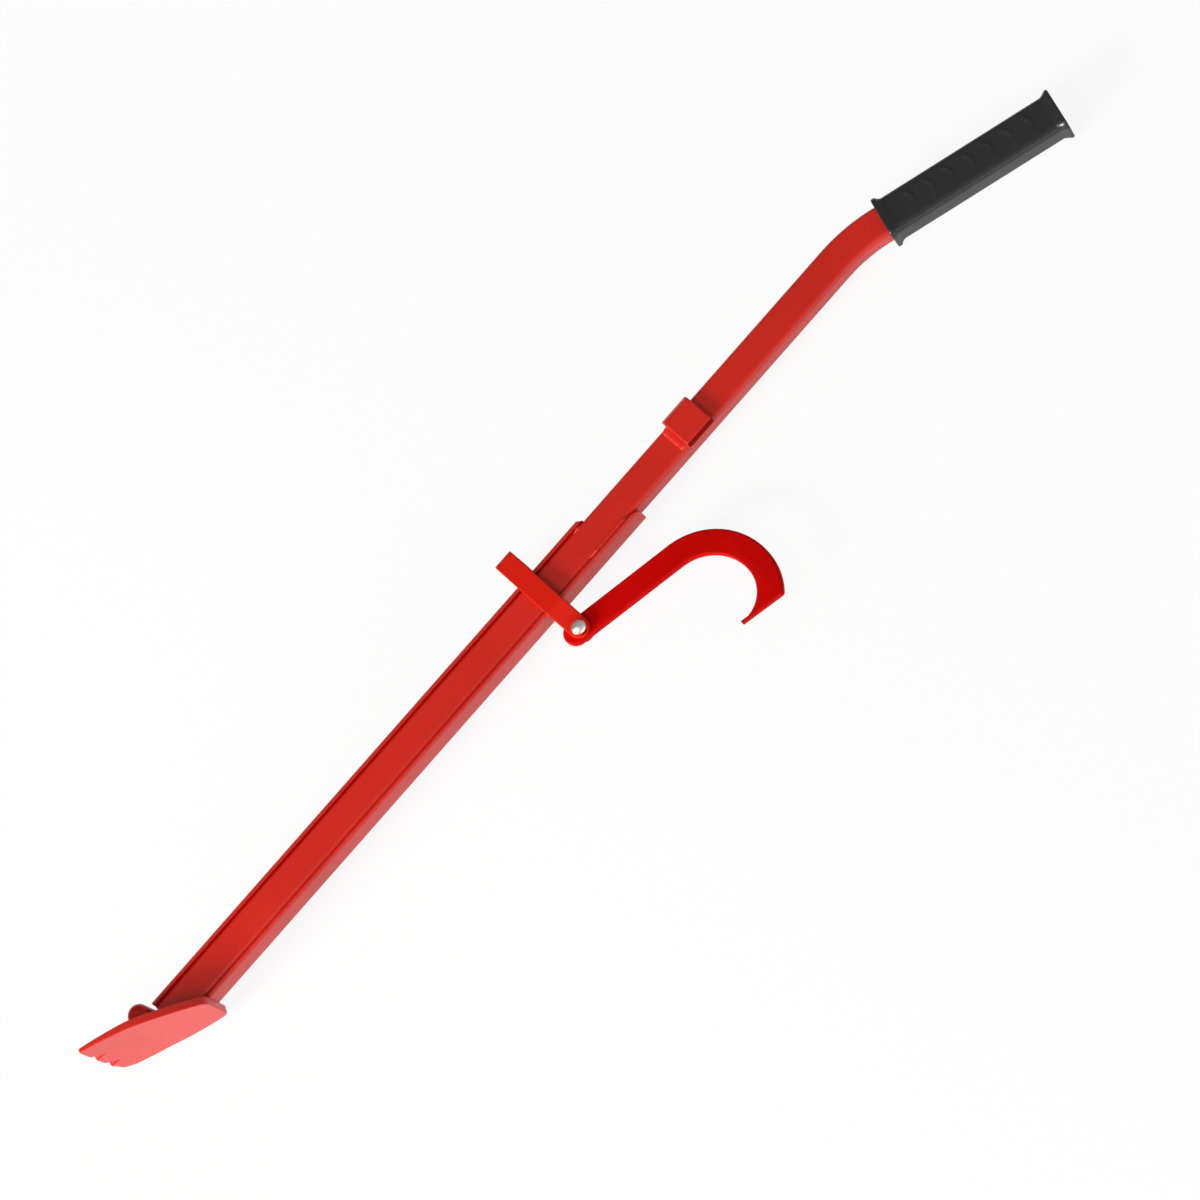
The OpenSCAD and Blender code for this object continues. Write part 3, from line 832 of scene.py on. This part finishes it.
def plated_steel():
    """Bright plated steel with a cloudy, faintly pitted face."""
    finish = Finish("bright_steel", Metallic=1.0)
    place = finish.place()
    cloud = finish.noise(place, scale=300, detail=3)
    finish.feed("Base Color", finish.mix(cloud, shade_of((0.80, 0.76, 0.72)), shade_of((0.94, 0.91, 0.87))))
    finish.feed("Roughness", cloud * 0.2 + 0.2)
    finish.bump(finish.noise(place, scale=900), strength=0.12, distance=0.2)
    return finish.material


# The lever's shade colour is the dark red of its painted shade
LEVER_PAINT = paint("red_enamel", colour=(0.64, 0.012, 0.002), worn=(0.62, 0.034, 0.020), roughness=0.32,
                    specular=0.5, coat=0.15, shade_colour=(0.28, 0.006, 0.004))
COLLAR_PAINT = paint("collar_enamel", colour=(0.715, 0.014, 0.004), worn=(0.66, 0.034, 0.017),
                     roughness=0.42, specular=0.13)
HOOK_PAINT = paint("hook_enamel", colour=(0.575, 0.002, 0.001), worn=(0.53, 0.012, 0.008),
                   roughness=0.50, specular=0.04)
RUBBER = rubber()
STEEL = plated_steel()


def dress(piece, node, body, material):
    """Gives a piece its material, and says which node it replaces and what it rides on."""
    piece.data.materials.clear()
    piece.data.materials.append(material)
    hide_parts(node)
    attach(piece, body)


lever = {"handle_tube": make_tube(), "outer_channel": make_channel(), "foot_plate": make_foot(),
         "foot_stop_bar": make_stop_bar(), "slide_stop": make_slide_stop(), **make_welds()}
for node, piece in lever.items():
    dress(piece, node, "lever", LEVER_PAINT)
dress(make_grip(), "grip", "lever", RUBBER)
dress(make_collar(), "collar_strap", "collar", COLLAR_PAINT)
dress(make_rivet(), "pivot_rivet", "collar", STEEL)
dress(make_hook(), "hook", "hook", HOOK_PAINT)


# Floor, light and camera
def make_floor():
    """The tool lies on it: it passes under the toe's lower corner and under the grip's outer flange."""
    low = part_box("foot_plate")[0]
    grip_low, grip_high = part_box("grip")
    slope = math.atan((grip_low.z - low.z) / (grip_high.x - low.x))
    floor = begin("floor", bpy.ops.mesh.primitive_plane_add, size=8)
    settle(floor, Matrix.Translation(low) @ Matrix.Rotation(-slope, 4, "Y"))
    finish = Finish("floor_white", Base_Color=(0.86, 0.86, 0.86, 1), Roughness=0.9, Specular_IOR_Level=0.0)
    lit = Wire(finish, finish.shader.outputs[0])
    glow = finish.node("ShaderNodeEmission", {}, {"Color": WHITE, "Strength": 1.0})
    finish.surface("Material Output", finish.backdrop(camera=0.9, mirrored=0.6), lit, glow)
    floor.data.materials.append(finish.material)


def make_world():
    """A soft room, lighter on the hook's side, with a white backdrop."""
    level, rise = 0.27, -0.22
    world = bpy.data.worlds.new("studio")
    bpy.context.scene.world = world
    net = Net(world)
    toward = net.node("ShaderNodeTexCoord", {}, {}, "Generated")
    side = net.node("ShaderNodeSeparateXYZ", {}, {0: toward}, "Y")
    room = net.node("ShaderNodeBackground", {}, {"Color": WHITE, "Strength": side * rise + level})
    white = net.node("ShaderNodeBackground", {}, {"Color": WHITE, "Strength": 1.0})
    net.surface("World Output", net.backdrop(camera=1.0, mirrored=0.2), room, white)


def softbox(name, place, aim, size, watts):
    """A soft lamp, its place, aim and size in metres."""
    light = bpy.data.lights.new(name, "AREA")
    light.shape, light.size, light.size_y, light.energy = "RECTANGLE", size[0], size[1], watts
    lamp = bpy.data.objects.new(name, light)
    bpy.context.scene.collection.objects.link(lamp)
    lamp.location = place
    lamp.rotation_euler = (Vector(aim) - Vector(place)).to_track_quat("-Z", "Y").to_euler()


def make_camera():
    """The photograph's view, fitted to the part's outline."""
    azimuth, elevation, roll = math.radians(0.85), math.radians(64.4), math.radians(49.39)
    target, distance = Vector((364.7, -29.1, 0)) * MM, 2300 * MM
    focal, pixels, sensor = 3918.8, 1200, 36
    back = Vector((math.sin(azimuth) * math.cos(elevation), -math.cos(azimuth) * math.cos(elevation),
                   math.sin(elevation)))
    right = Vector((math.cos(azimuth), math.sin(azimuth), 0))
    up = back.cross(right)
    across = right * math.cos(roll) - up * math.sin(roll)
    above = right * math.sin(roll) + up * math.cos(roll)
    camera = bpy.data.objects.new("photo_camera", bpy.data.cameras.new("photo_camera"))
    bpy.context.scene.collection.objects.link(camera)
    turn = Matrix((across, above, back)).transposed().to_4x4()
    camera.matrix_world = Matrix.Translation(target + back * distance) @ turn
    camera.data.sensor_width = sensor
    camera.data.lens = focal / pixels * sensor
    camera.data.clip_start, camera.data.clip_end = 0.05, 50
    bpy.context.scene.camera = camera


make_floor()
make_world()
softbox("foot_side_low_key", place=(-3.4, 0.0, 1.3), aim=(0.3, -0.03, 0), size=(1.05, 1.05), watts=178)
softbox("foot_side_high_key", place=(-1.8, -0.6, 3.0), aim=(0.4, -0.03, 0), size=(1.9, 1.9), watts=44)
softbox("hook_side_box", place=(0.8, -1.7, 0.5), aim=(0.5, -0.03, 0), size=(2.4, 0.4), watts=5.5)
make_camera()
bpy.context.scene.view_settings.view_transform = "Standard"
